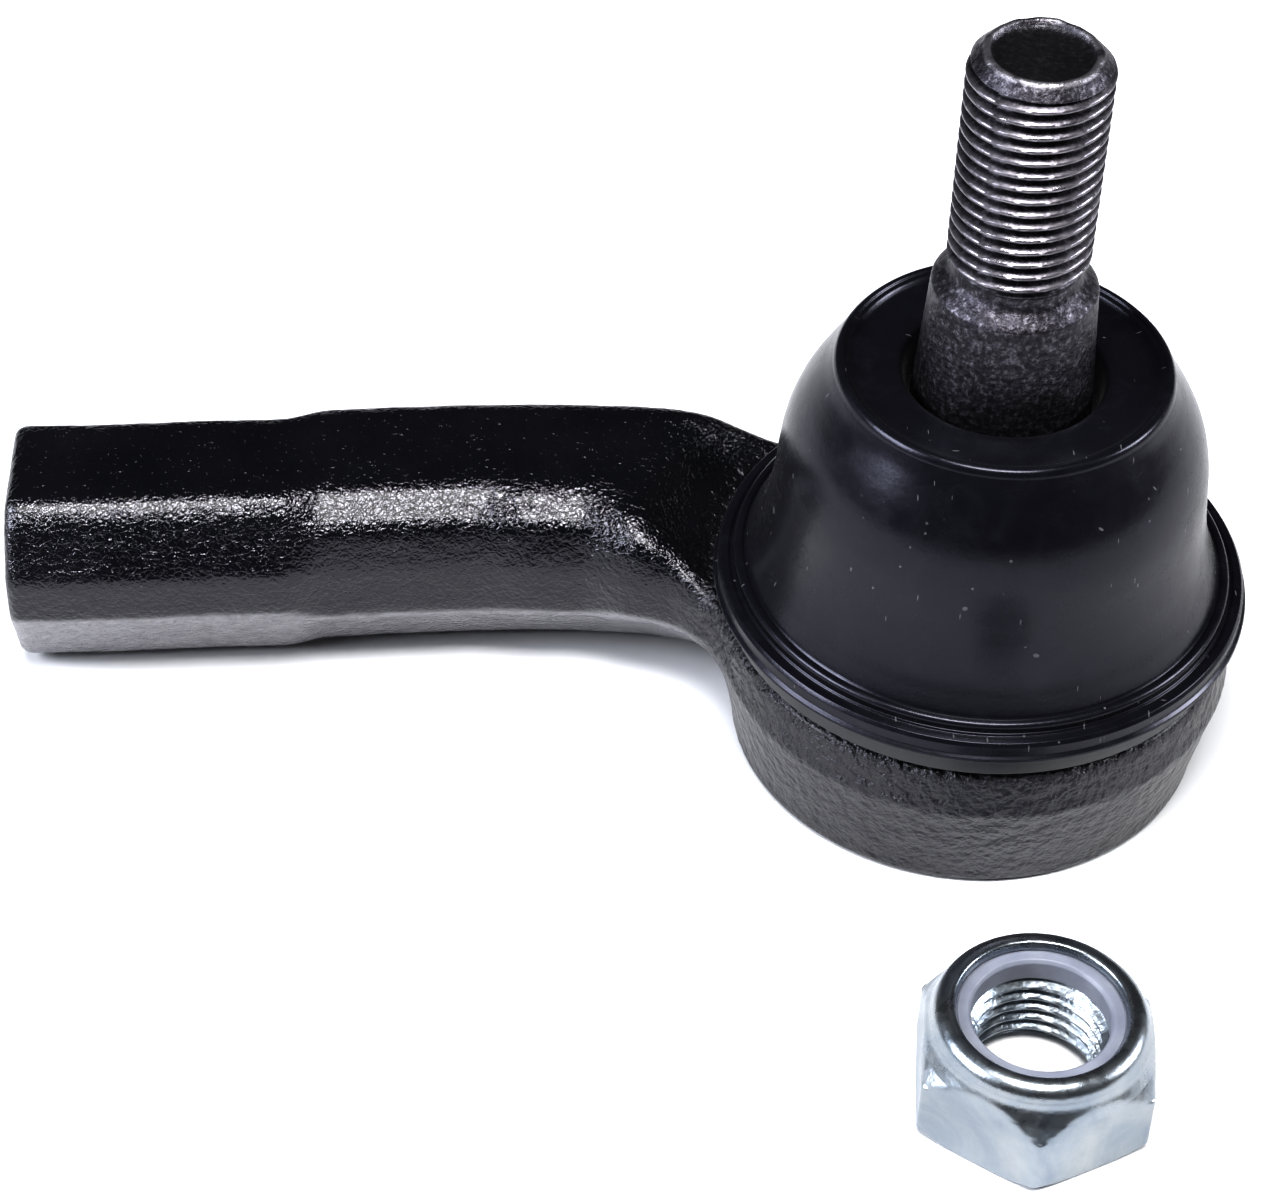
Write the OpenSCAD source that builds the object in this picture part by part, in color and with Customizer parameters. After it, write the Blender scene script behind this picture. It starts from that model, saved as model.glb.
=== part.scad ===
// Tie rod end: a ball joint in a forged housing with an offset, internally
// threaded arm, a sealed rubber boot and a loose prevailing-torque lock nut.
// Millimetres. +Z is the stud axis, pointing out of the boot. The origin is on
// the stud axis, in the plane of the housing's base. The arm runs towards -X.

/* [Housing] */
// Radius of the forged housing at its forging line
housing_r = 23.0; // [22.6:0.1:23.4]
// Radius of the housing at its base
base_r = 21.0; // [20.4:0.1:21.6]
// Height of the forging line, which is also the arm's centre line
mid_z = 10.2; // [10.0:0.1:10.4]
// Height of the shoulder that the boot's base ring stops on
shoulder_z = 14.7; // [14.4:0.1:15.0]
// Radius of the machined spigot under the boot's base ring
spigot_r = 21.4; // [21.2:0.1:21.6]
// Radius of the collar inside the boot
collar_r = 17.2; // [16.4:0.1:17.4]
// Height of the collar's top
collar_z = 22.7; // [22.5:0.1:23.0]

/* [Arm] */
// Distance from the stud axis to the arm's end face
arm_len = 87; // [84:0.5:100]
// Sideways offset of the arm's threaded bore from the stud axis
arm_y = 12.8; // [12.4:0.1:13.2]
// Width across the flats of the hexagonal wrench section
wrench_af = 19; // [18:0.1:19]
// Half height of the swollen middle of the arm
swell_h = 10.1; // [9.8:0.1:10.1]
// Wall radius of the threaded bore, M14 x 1.5
bore_r = 6.2; // [6.1:0.05:6.3]
// Depth of the threaded bore
bore_depth = 39; // [30:0.5:42]

/* [Ball stud] */
// Radius of the ball
ball_r = 11.0; // [10.9:0.05:11.0]
// Height of the ball's centre
ball_z = 15.2; // [15.2:0.1:15.4]
// Outer radius of the stud's thread, M12 x 1.25
thread_r = 6.0; // [5.9:0.05:6.0]
// Height of the stud's tip
stud_top = 73.3; // [70:0.1:76]
// Height where the thread starts, above the undercut
thread_z = 53.0; // [52.0:0.1:53.0]
// Small-end radius of the seat taper
taper_r = 6.95; // [6.8:0.05:7.1]
// Height of the taper's shoulder
taper_z = 51.0; // [50.0:0.1:51.0]
// Taper on radius, per millimetre of height
taper_k = 0.0625; // [0.05:0.0025:0.07]
// Radius of the neck between taper and ball
neck_r = 6.0; // [5.6:0.1:6.1]

/* [Boot] */
// Radius of the boot's base flange
boot_r = 23.55; // [23.4:0.05:23.8]
// Radius of the boot's wall at its waist
boot_waist_r = 18.4; // [18.2:0.1:18.8]
// Radius of the rim around the dished top
boot_rim_r = 13.8; // [13.4:0.1:14.2]
// Height of the rim around the dished top
boot_rim_z = 41.8; // [41.6:0.1:42.6]
// Wall thickness of the boot
boot_wall = 1.8; // [1.5:0.1:2.0]

/* [Lock nut] */
// Width of the nut across its flats
nut_af = 19.0; // [18:0.1:19]
// Height of the nut
nut_h = 10.4; // [10.2:0.1:12]
// Wall radius of the nut's thread, M12 x 1.25
nut_bore_r = 5.35; // [5.3:0.01:5.4]
// Distance of the loose nut in front of the stud axis
nut_front = 44.6; // [40:0.1:60]

/* [Hidden] */
$fn = 96;
fit = 0.04;                       // running clearance on radius
hex_R = wrench_af / sqrt(3);      // corner radius of the wrench section
seat_r = ball_r + 2.0;            // outer radius of the seats
cap_z = 0.9;                      // underside of the closing plate
cap_t = 1.3;                      // thickness of the closing plate
cap_r = 15.2;
seat_z = 3.4;                     // bottom of the lower seat
mouth_h = 7.0;                    // height of the seat's top above the ball centre
ring_t = 1.1;                     // wall of the boot's base ring
ring_top = shoulder_z + 3.0;      // top of the boot's base ring
flange_top = ring_top + 1.9;      // top of the boot's base flange
nut_x = 1.6;

function arc(cx, cz, r, a0, a1, n) =
    [for (i = [0:n]) [cx + r * cos(a0 + (a1 - a0) * i / n),
                      cz + r * sin(a0 + (a1 - a0) * i / n)]];
function taper_at(z) = taper_r + (taper_z - z) * taper_k;

// ---- Housing -------------------------------------------------------------
// Six-sided section whose side corners are trimmed flat: half width of the
// top, half height, half depth and half height of the trimmed side
function section(w, h, d, land) =
    [[-w, h], [w, h], [d, land], [d, -land], [w, -h], [-w, -h],
     [-d, -land], [-d, land]];
function wrench_section() =
    section(hex_R / 2, wrench_af / 2, hex_R - 1.9 / sqrt(3), 1.9);

module section_at(x, y, pts, t = 0.2)
    translate([x, y, mid_z]) rotate([90, 0, 90])
        linear_extrude(height = t) polygon(pts);

module arm() {
    // wrench end, with a chamfered mouth face
    intersection() {
        section_at(-arm_len, arm_y, wrench_section(), arm_len - 61);
        translate([-arm_len, arm_y, mid_z]) rotate([0, 90, 0])
            cylinder(r1 = hex_R - 0.9, r2 = hex_R + arm_len, h = arm_len + 0.9);
    }
    // swollen middle, curving towards the back and then into the housing
    hull() {
        section_at(-61.2, arm_y, wrench_section());
        section_at(-57.2, arm_y + 0.6, section(5.6, swell_h, 9.7, 2.6));
    }
    hull() {
        section_at(-57.2, arm_y + 0.6, section(5.6, swell_h, 9.7, 2.6));
        section_at(-43, arm_y + 1.4, section(5.6, swell_h, 9.8, 2.8));
    }
    hull() {
        section_at(-43, arm_y + 1.4, section(5.6, swell_h, 9.8, 2.8));
        section_at(-27, arm_y - 0.3, section(6.0, swell_h - 0.3, 11.4, 3.4));
    }
    hull() {
        section_at(-27, arm_y - 0.3, section(6.0, swell_h - 0.3, 11.4, 3.4));
        section_at(-8, arm_y - 4.4, section(7.0, swell_h - 1.0, 13.1, 4.0));
    }
}

module housing_body()
    rotate_extrude($fn = 128) polygon([
        [0, 0], [base_r - 1.0, 0], [base_r - 0.2, 0.5], [base_r + 0.15, 1.4],
        [housing_r - 0.25, mid_z - 1.2], [housing_r, mid_z - 0.6],
        [housing_r, mid_z + 0.6], [housing_r - 0.3, mid_z + 1.2],
        [housing_r - 0.5, shoulder_z], [spigot_r, shoulder_z],
        [spigot_r, ring_top - ring_t], [collar_r + 0.4, ring_top - ring_t],
        [collar_r, ring_top - ring_t + 0.4], [collar_r, collar_z - 1.2],
        [collar_r - 1.2, collar_z], [0, collar_z]]);

module housing_cavity() {
    // mouth, socket, bore, closing-plate recess and rolled lip
    rotate_extrude($fn = 128) polygon(concat(
        [[0, -1], [13.7, -1], [13.7, cap_z], [cap_r + 0.02, cap_z],
         [cap_r + 0.02, cap_z + cap_t], [seat_r + fit, cap_z + cap_t],
         [seat_r + fit, ball_z]],
        arc(0, ball_z, seat_r + fit, 3, asin(mouth_h / (seat_r + fit)), 14),
        [[10.95 + 0.7, collar_z], [10.95 + 1.7, collar_z + 1], [0, collar_z + 1]]));
}

module forged_housing() color([0.05, 0.05, 0.055])
    difference() {
        union() {
            difference() {
                arm();
                // seat for the boot's base, sunk into the root of the arm
                translate([0, 0, shoulder_z])
                    cylinder(r1 = boot_r + 0.6, r2 = boot_r + 11.6, h = 8);
            }
            housing_body();
        }
        housing_cavity();
        translate([-arm_len, arm_y, mid_z]) rotate([0, 90, 0]) {
            translate([0, 0, -1]) cylinder(r = bore_r, h = bore_depth + 1);
            translate([0, 0, bore_depth - 0.01])
                cylinder(r1 = bore_r, r2 = 0.01, h = bore_r * 0.6);
            translate([0, 0, -0.01])
                cylinder(r1 = bore_r + 1.1, r2 = bore_r, h = 1.1);
        }
    }

// ---- Closing plate and preload -------------------------------------------
module end_cap() color([0.55, 0.56, 0.58])
    rotate_extrude($fn = 96) polygon([
        [0, cap_z + 0.35], [6.6, cap_z + 0.35], [7.8, cap_z], [cap_r, cap_z],
        [cap_r, cap_z + cap_t], [8.2, cap_z + cap_t],
        [7.0, cap_z + cap_t + 0.25], [0, cap_z + cap_t + 0.25]]);

module preload_spring() color([0.35, 0.36, 0.38])
    rotate_extrude($fn = 96) polygon([
        [8.6, cap_z + cap_t + 0.66], [12.3, cap_z + cap_t],
        [12.5, cap_z + cap_t + 0.55], [8.8, seat_z]]);

// ---- Ball seats ----------------------------------------------------------
module lower_ball_seat() color([0.86, 0.85, 0.78])
    difference() {
        translate([0, 0, seat_z]) cylinder(r = seat_r, h = ball_z - 0.1 - seat_z);
        translate([0, 0, ball_z]) sphere(r = ball_r + fit, $fn = 128);
        translate([0, 0, seat_z - 1]) cylinder(r = 5.2, h = 4);
    }

module upper_ball_seat() color([0.9, 0.89, 0.83])
    rotate_extrude($fn = 128) polygon(concat(
        [[ball_r + fit, ball_z], [seat_r, ball_z]],
        arc(0, ball_z, seat_r, 4, asin(mouth_h / seat_r), 12),
        arc(0, ball_z, ball_r + fit, 28, 4, 10)));

// ---- Ball stud -----------------------------------------------------------
module ball_stud() color([0.3, 0.3, 0.31])
    union() {
        intersection() {
            translate([0, 0, ball_z]) sphere(r = ball_r, $fn = 128);
            translate([0, 0, ball_z - 10]) cylinder(r = 20, h = 30);
        }
        rotate_extrude($fn = 96) polygon([
            [0, ball_z + 4], [neck_r, ball_z + 4], [neck_r, 28.2],
            [neck_r + 0.5, 29.3], [taper_at(31.4) - 0.5, 30.9],
            [taper_at(31.4), 31.4], [taper_r + 0.04, taper_z - 0.6],
            [taper_r - 0.6, taper_z], [5.55, taper_z + 0.5],
            [5.25, taper_z + 1.0], [5.25, thread_z - 0.9], [0, thread_z - 0.9]]);
        translate([0, 0, thread_z - 1]) cylinder(r1 = 5.2, r2 = thread_r, h = 0.8);
        difference() {
            union() {
                translate([0, 0, thread_z - 0.2])
                    cylinder(r = thread_r, h = stud_top - 1.4 - thread_z + 0.2);
                translate([0, 0, stud_top - 1.4])
                    cylinder(r1 = thread_r, r2 = thread_r - 1.3, h = 1.4);
            }
            translate([0, 0, stud_top - 0.6])
                cylinder(r1 = 3.6, r2 = 4.4, h = 0.7);
        }
    }

// ---- Boot and its rings --------------------------------------------------
module boot_base_ring() color([0.09, 0.09, 0.1])
    rotate_extrude($fn = 128) polygon([
        [spigot_r + 0.01, shoulder_z], [spigot_r + ring_t - 0.25, shoulder_z],
        [spigot_r + ring_t, shoulder_z + 0.3],
        [spigot_r + ring_t, ring_top - 0.3], [spigot_r + ring_t - 0.2, ring_top],
        [18.2, ring_top], [18.2, ring_top - ring_t],
        [spigot_r + 0.01, ring_top - ring_t]]);

module dust_boot() color([0.07, 0.07, 0.08])
    rotate_extrude($fn = 128) polygon(concat(
        // outside: lip, flange, bead, waist and dome
        [[18.25, ring_top], [boot_r - 0.5, ring_top], [boot_r - 0.3, ring_top - 0.35],
         [boot_r, ring_top + 0.2], [boot_r, flange_top - 0.7],
         [boot_r - 0.4, flange_top - 0.2], [boot_r - 1.9, flange_top],
         [21.2, flange_top + 0.5], [20.7, flange_top + 2.1], [20.0, 25.0],
         [19.2, 28.0], [boot_waist_r + 0.2, 31.0], [boot_waist_r, 33.5],
         [boot_waist_r - 0.5, 36.0], [boot_waist_r - 1.7, 38.5],
         [boot_rim_r + 1.2, 41.0], [boot_rim_r, boot_rim_z]],
        // dished top and neck lip
        [[boot_rim_r - 0.7, boot_rim_z - 0.2], [12.0, 40.4], [10.4, 39.5],
         [9.4, 39.8], [8.9, 40.6], [8.2, 40.9], [taper_at(40.7) + 0.06, 40.7]],
        // neck against the taper, then the inside
        [[taper_at(35.6) + 0.06, 35.6], [8.7, 35.4], [8.7, 37.8], [10.2, 38.2],
         [12.2, 38.4], [14.2, 38.0], [boot_waist_r - 2.6, 36.4],
         [boot_waist_r - boot_wall - 0.2, 33.5],
         [boot_waist_r - boot_wall, 31.0], [19.2 - boot_wall, 28.0],
         [20.0 - boot_wall, 25.0], [18.5, 22.0], [18.25, 21.0]]));

module boot_neck_clip() color([0.7, 0.7, 0.72])
    translate([0, 0, 36.7])
        rotate_extrude($fn = 96) translate([9.3, 0]) circle(r = 0.58, $fn = 24);

// ---- Lock nut ------------------------------------------------------------
module lock_nut() color([0.75, 0.78, 0.8])
    translate([nut_x, -nut_front, 0])
        difference() {
            union() {
                intersection() {
                    rotate([0, 0, -95])
                        cylinder(r = nut_af / sqrt(3), h = 7.2, $fn = 6);
                    union() {
                        cylinder(r1 = nut_af / 2 + 0.2, r2 = nut_af / 2 + 1.6, h = 0.9);
                        translate([0, 0, 0.9]) cylinder(r = nut_af / 2 + 1.6, h = 4.7);
                        translate([0, 0, 5.6])
                            cylinder(r1 = nut_af / 2 + 1.6, r2 = nut_af / 2 - 0.4, h = 1.6);
                    }
                }
                rotate_extrude($fn = 96) polygon(concat(
                    [[0, 6.6], [nut_af / 2 - 0.45, 6.6]],
                    arc(nut_af / 2 - 1.85, nut_h - 1.5, 1.4, -10, 90, 10),
                    [[0, nut_h - 0.1]]));
            }
            translate([0, 0, -1]) cylinder(r = nut_bore_r, h = 9);
            translate([0, 0, -0.01]) cylinder(r1 = 6.5, r2 = nut_bore_r, h = 1.0);
            translate([0, 0, 7.3]) cylinder(r = 7.45, h = nut_h - 8.1);
            translate([0, 0, nut_h - 0.9]) cylinder(r = 6.95, h = 2);
        }

module lock_nut_insert() color([0.85, 0.87, 0.9, 0.9])
    translate([nut_x, -nut_front, 7.3])
        rotate_extrude($fn = 96) polygon([
            [5.75, 0.3], [6.05, 0], [7.41, 0], [7.41, nut_h - 8.14],
            [6.0, nut_h - 8.14], [5.75, nut_h - 8.4]]);

forged_housing();
end_cap();
preload_spring();
lower_ball_seat();
upper_ball_seat();
ball_stud();
boot_base_ring();
dust_boot();
boot_neck_clip();
lock_nut();
lock_nut_insert();
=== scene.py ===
import bpy, bmesh, math
import numpy as np
from mathutils import Vector, Matrix, noise


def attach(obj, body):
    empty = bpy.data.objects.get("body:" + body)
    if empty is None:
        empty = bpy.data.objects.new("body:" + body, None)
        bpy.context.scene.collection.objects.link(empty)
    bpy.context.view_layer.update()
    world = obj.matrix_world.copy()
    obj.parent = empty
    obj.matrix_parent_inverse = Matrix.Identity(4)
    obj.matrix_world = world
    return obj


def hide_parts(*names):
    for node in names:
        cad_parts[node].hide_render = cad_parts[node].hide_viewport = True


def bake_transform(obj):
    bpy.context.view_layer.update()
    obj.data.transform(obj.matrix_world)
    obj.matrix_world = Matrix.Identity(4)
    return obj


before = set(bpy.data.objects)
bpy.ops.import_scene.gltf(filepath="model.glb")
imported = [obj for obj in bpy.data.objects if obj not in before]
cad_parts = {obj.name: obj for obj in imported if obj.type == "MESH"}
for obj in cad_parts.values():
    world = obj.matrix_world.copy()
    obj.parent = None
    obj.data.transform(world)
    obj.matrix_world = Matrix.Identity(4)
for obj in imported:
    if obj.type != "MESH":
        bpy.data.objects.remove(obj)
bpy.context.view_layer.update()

MM = 0.001
sc = bpy.context.scene
col = sc.collection
P = np.array

# ------------------------------------------------------------------ the part's own measures, mm
MID_Z = 10.2
ARM_LEN = 87.0
ARM_Y = 12.8
SHOULDER = 14.7
RING_TOP = 17.7
BALL_Z = 15.2
NUT_X, NUT_Y = 1.6, -44.6


# ------------------------------------------------------------------ mesh tools
def obj_from(name, verts, faces, smooth=True):
    """An object from points in mm and faces as lists of indices."""
    me = bpy.data.meshes.new(name)
    me.from_pydata((np.asarray(verts, float) * MM).tolist(), [], [list(map(int, f)) for f in faces])
    me.validate()
    o = bpy.data.objects.new(name, me)
    col.objects.link(o)
    if smooth:
        me.shade_smooth()
    return o


def fix_normals(o):
    bm = bmesh.new()
    bm.from_mesh(o.data)
    bmesh.ops.recalc_face_normals(bm, faces=bm.faces)
    if bm.calc_volume(signed=True) < 0:
        bmesh.ops.reverse_faces(bm, faces=bm.faces)
    bm.to_mesh(o.data)
    bm.free()


def fillet(pts, radii, n=5):
    """A closed outline with its corners rounded. radii is one number or one per corner."""
    pts = [P(p, float) for p in pts]
    m = len(pts)
    if np.isscalar(radii):
        radii = [radii] * m
    out = []
    for i in range(m):
        p, a, b, r = pts[i], pts[i - 1], pts[(i + 1) % m], radii[i]
        u, v = a - p, b - p
        lu, lv = np.linalg.norm(u), np.linalg.norm(v)
        if r <= 1e-6 or lu < 1e-6 or lv < 1e-6:
            out.append(p)
            continue
        u, v = u / lu, v / lv
        c = float(np.clip(u @ v, -1, 1))
        ang = math.acos(c)
        if ang > math.pi - 0.03:
            out.append(p)
            continue
        d = min(r / math.tan(ang / 2), 0.48 * lu, 0.48 * lv)
        p0, p1 = p + u * d, p + v * d
        for k in range(n + 1):
            t = k / n
            out.append((1 - t) ** 2 * p0 + 2 * t * (1 - t) * p + t * t * p1)
    return out


def spline(pts, per=8):
    """Catmull-Rom through the points, open."""
    pts = [P(p, float) for p in pts]
    out = []
    for i in range(len(pts) - 1):
        p0, p1, p2, p3 = pts[max(i - 1, 0)], pts[i], pts[i + 1], pts[min(i + 2, len(pts) - 1)]
        for k in range(per):
            t = k / per
            out.append(0.5 * ((2 * p1) + (p2 - p0) * t + (2 * p0 - 5 * p1 + 4 * p2 - p3) * t * t
                              + (3 * p1 - p0 - 3 * p2 + p3) * t ** 3))
    out.append(pts[-1])
    return out


def lathe(name, prof, n=192, centre=(0, 0), wobble=None):
    """A surface of revolution. prof is a closed outline of (r, z), or an open one that starts and ends on the axis."""
    prof = [P(p, float) for p in prof]
    open_ = prof[0][0] < 1e-6 and prof[-1][0] < 1e-6
    th = np.linspace(0, 2 * math.pi, n, endpoint=False)
    cs, sn = np.cos(th), np.sin(th)
    verts, rows = [], []
    for r, z in prof:
        if r < 1e-6:
            rows.append([len(verts)])
            verts.append((centre[0], centre[1], z))
        else:
            rows.append(list(range(len(verts), len(verts) + n)))
            rr = r if wobble is None else r + wobble(th, z, r)
            xs, ys = rr * cs + centre[0], rr * sn + centre[1]
            verts.extend(zip(xs, ys, [z] * n))
    faces = []
    m = len(rows)
    for i in range(m - 1 if open_ else m):
        a, b = rows[i], rows[(i + 1) % m]
        for k in range(n):
            k2 = (k + 1) % n
            if len(a) == 1 and len(b) == 1:
                continue
            if len(a) == 1:
                faces.append((a[0], b[k2], b[k]))
            elif len(b) == 1:
                faces.append((a[k], a[k2], b[0]))
            else:
                faces.append((a[k], a[k2], b[k2], b[k]))
    o = obj_from(name, verts, faces)
    fix_normals(o)
    return o


def grid_of_rows(name, rows, n):
    """Rows are (r array over n angles, z array over n angles) from bottom axis point to top axis point, both given as z."""
    th = np.linspace(0, 2 * math.pi, n, endpoint=False)
    verts = [(0, 0, rows[0])]
    for r, z in rows[1:-1]:
        r = np.broadcast_to(r, (n,)); z = np.broadcast_to(z, (n,))
        verts.extend(np.stack([r * np.cos(th), r * np.sin(th), z], 1).tolist())
    verts.append((0, 0, rows[-1]))
    m = len(rows) - 2
    idx = np.arange(m * n).reshape(m, n) + 1
    faces = []
    k = np.arange(n); k2 = (k + 1) % n
    for i in range(m - 1):
        faces.extend(np.stack([idx[i][k], idx[i][k2], idx[i + 1][k2], idx[i + 1][k]], 1).tolist())
    faces.extend([(0, int(idx[0][b]), int(idx[0][a])) for a, b in zip(k, k2)])
    top = len(verts) - 1
    faces.extend([(top, int(idx[-1][a]), int(idx[-1][b])) for a, b in zip(k, k2)])
    return obj_from(name, verts, faces)


def surface_nets(F, lo, h):
    """A closed quad mesh of F = 0 from values on a regular grid, inside where F < 0."""
    s = F < 0
    c = [s[i:s.shape[0] - 1 + i, j:s.shape[1] - 1 + j, k:s.shape[2] - 1 + k]
         for i in (0, 1) for j in (0, 1) for k in (0, 1)]
    cnt = np.sum(c, axis=0)
    act = (cnt > 0) & (cnt < 8)
    cells = np.argwhere(act)
    idx = -np.ones(act.shape, np.int64)
    idx[act] = np.arange(len(cells))
    acc = np.zeros((len(cells), 3)); w = np.zeros(len(cells))
    corners = [P((i, j, k)) for i in (0, 1) for j in (0, 1) for k in (0, 1)]
    for a in corners:
        for ax in range(3):
            if a[ax]:
                continue
            b = a.copy(); b[ax] = 1
            fa = F[tuple((cells + a).T)]; fb = F[tuple((cells + b).T)]
            m = (fa < 0) != (fb < 0)
            t = fa[m] / (fa[m] - fb[m])
            acc[m] += a + t[:, None] * (b - a)
            w[m] += 1
    V = (cells + acc / w[:, None]) * h + P(lo)
    faces = []
    for ax in range(3):
        o1, o2 = [(1, 2), (2, 0), (0, 1)][ax]
        sl_a = [slice(None)] * 3; sl_b = [slice(None)] * 3
        sl_a[ax] = slice(0, -1); sl_b[ax] = slice(1, None)
        A, B = s[tuple(sl_a)], s[tuple(sl_b)]
        diff = np.argwhere(A != B)
        g = diff[(diff[:, o1] > 0) & (diff[:, o2] > 0)
                 & (diff[:, o1] < s.shape[o1] - 1) & (diff[:, o2] < s.shape[o2] - 1)]
        inside_first = A[tuple(g.T)]
        e1 = np.zeros(3, int); e1[o1] = 1
        e2 = np.zeros(3, int); e2[o2] = 1
        q = np.stack([idx[tuple((g - e1 - e2).T)], idx[tuple((g - e2).T)], idx[tuple(g.T)], idx[tuple((g - e1).T)]], 1)
        q[~inside_first] = q[~inside_first][:, ::-1]
        faces.append(q)
    return V, np.concatenate(faces)


def smin(a, b, k):
    h = np.clip(0.5 + 0.5 * (b - a) / k, 0, 1)
    return b * (1 - h) + a * h - k * h * (1 - h)


def smax(a, b, k):
    return -smin(-a, -b, k)


def cut(o, cutter, op="DIFFERENCE", keep=False):
    m = o.modifiers.new("b", "BOOLEAN")
    m.operation = op
    m.solver = "EXACT"
    m.object = cutter
    dg = bpy.context.evaluated_depsgraph_get()
    me = bpy.data.meshes.new_from_object(o.evaluated_get(dg))
    o.modifiers.clear()
    old = o.data
    o.data = me
    bpy.data.meshes.remove(old)
    if not keep:
        cm = cutter.data
        bpy.data.objects.remove(cutter)
        bpy.data.meshes.remove(cm)
    return o


def clean(o, angle=32):
    bm = bmesh.new()
    bm.from_mesh(o.data)
    bmesh.ops.remove_doubles(bm, verts=bm.verts, dist=1e-7)
    bmesh.ops.dissolve_degenerate(bm, edges=bm.edges, dist=1e-7)
    loose = [v for v in bm.verts if not v.link_faces]
    bmesh.ops.delete(bm, geom=loose, context="VERTS")
    bmesh.ops.recalc_face_normals(bm, faces=bm.faces)
    bm.to_mesh(o.data)
    bm.free()
    o.data.shade_smooth()
    o.data.set_sharp_from_angle(angle=math.radians(angle))


def displace(o, fn, amount=1.0, where=None):
    """Moves each point along its normal by fn(points in mm) in mm."""
    me = o.data
    n = len(me.vertices)
    co = np.zeros(n * 3); me.vertices.foreach_get("co", co); co = co.reshape(-1, 3) / MM
    nr = np.zeros(n * 3); me.vertices.foreach_get("normal", nr); nr = nr.reshape(-1, 3)
    d = fn(co, nr) * amount
    co = (co + nr * d[:, None]) * MM
    me.vertices.foreach_set("co", co.ravel())
    me.update()


def noise_at(co, scale, octaves=2, off=0.0):
    return P([noise.fractal(Vector((float(p[0]) / scale + off, float(p[1]) / scale, float(p[2]) / scale)), 1.0, 2.0, octaves)
              for p in co])


# ------------------------------------------------------------------ materials
def new_mat(name):
    m = bpy.data.materials.new(name)
    m.use_nodes = True
    nt = m.node_tree
    nt.nodes.clear()
    out = nt.nodes.new("ShaderNodeOutputMaterial")
    bs = nt.nodes.new("ShaderNodeBsdfPrincipled")
    nt.links.new(bs.outputs[0], out.inputs[0])
    tc = nt.nodes.new("ShaderNodeTexCoord")
    return m, nt, bs, tc.outputs["Object"]


class N:
    """Small helpers to chain nodes in one tree."""
    def __init__(self, nt, co):
        self.nt, self.co = nt, co

    def _n(self, kind, **kw):
        n = self.nt.nodes.new(kind)
        for k, v in kw.items():
            setattr(n, k, v)
        return n

    def link(self, a, b):
        self.nt.links.new(a, b)

    def noise(self, scale, detail=3.0, rough=0.55, dist=0.0, co=None, kind="FBM"):
        n = self._n("ShaderNodeTexNoise")
        n.inputs["Scale"].default_value = scale
        n.inputs["Detail"].default_value = detail
        n.inputs["Roughness"].default_value = rough
        n.inputs["Distortion"].default_value = dist
        self.link(co or self.co, n.inputs["Vector"])
        return n.outputs["Fac"]

    def voronoi(self, scale, feature="F1", rand=1.0, co=None, smooth=None):
        n = self._n("ShaderNodeTexVoronoi", feature=feature)
        n.inputs["Scale"].default_value = scale
        n.inputs["Randomness"].default_value = rand
        if smooth is not None and "Smoothness" in n.inputs:
            n.inputs["Smoothness"].default_value = smooth
        self.link(co or self.co, n.inputs["Vector"])
        return n.outputs["Distance"]

    def scaled(self, s, co=None, rot=(0, 0, 0)):
        n = self._n("ShaderNodeMapping")
        n.inputs["Scale"].default_value = s
        n.inputs["Rotation"].default_value = rot
        self.link(co or self.co, n.inputs["Vector"])
        return n.outputs[0]

    def ramp(self, fac, stops):
        n = self._n("ShaderNodeValToRGB")
        e = n.color_ramp.elements
        while len(e) > 1:
            e.remove(e[0])
        e[0].position = stops[0][0]
        e[0].color = self._c(stops[0][1])
        for p, c in stops[1:]:
            x = e.new(p)
            x.color = self._c(c)
        self.link(fac, n.inputs[0])
        return n.outputs[0]

    @staticmethod
    def _c(c):
        return (c, c, c, 1) if np.isscalar(c) else (*c, 1)

    def math(self, op, a, b=None, clamp=False):
        n = self._n("ShaderNodeMath", operation=op, use_clamp=clamp)
        for i, v in enumerate((a, b)):
            if v is None:
                continue
            if isinstance(v, (int, float)):
                n.inputs[i].default_value = v
            else:
                self.link(v, n.inputs[i])
        return n.outputs[0]

    def range(self, v, a, b, c, d):
        n = self._n("ShaderNodeMapRange")
        self.link(v, n.inputs[0])
        for i, x in enumerate((a, b, c, d)):
            n.inputs[i + 1].default_value = x
        return n.outputs[0]

    def mix(self, fac, a, b):
        n = self._n("ShaderNodeMix", data_type="RGBA")
        for s, v in ((n.inputs[0], fac), (n.inputs[6], a), (n.inputs[7], b)):
            if isinstance(v, (int, float)):
                s.default_value = v
            elif isinstance(v, tuple):
                s.default_value = (*v, 1)
            else:
                self.link(v, s)
        return n.outputs[2]

    def xyz(self, co=None):
        n = self._n("ShaderNodeSeparateXYZ")
        self.link(co or self.co, n.inputs[0])
        return n.outputs

    def bump(self, h, strength, dist, normal=None):
        n = self._n("ShaderNodeBump")
        n.inputs["Strength"].default_value = strength
        n.inputs["Distance"].default_value = dist
        self.link(h, n.inputs["Height"])
        if normal is not None:
            self.link(normal, n.inputs["Normal"])
        return n.outputs[0]

    def normal_z(self):
        t = self._n("ShaderNodeTexCoord")
        return self.xyz(t.outputs["Normal"])[2]

    def warp(self, scale, amount):
        t = self._n("ShaderNodeTexNoise")
        t.inputs["Scale"].default_value = scale
        t.inputs["Detail"].default_value = 2.0
        self.link(self.co, t.inputs["Vector"])
        m = self._n("ShaderNodeVectorMath", operation="MULTIPLY_ADD")
        self.link(t.outputs["Color"], m.inputs[0])
        m.inputs[1].default_value = (amount, amount, amount)
        self.link(self.co, m.inputs[2])
        return m.outputs[0]

    def pointiness(self):
        n = self._n("ShaderNodeNewGeometry")
        return n.outputs["Pointiness"]


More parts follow.
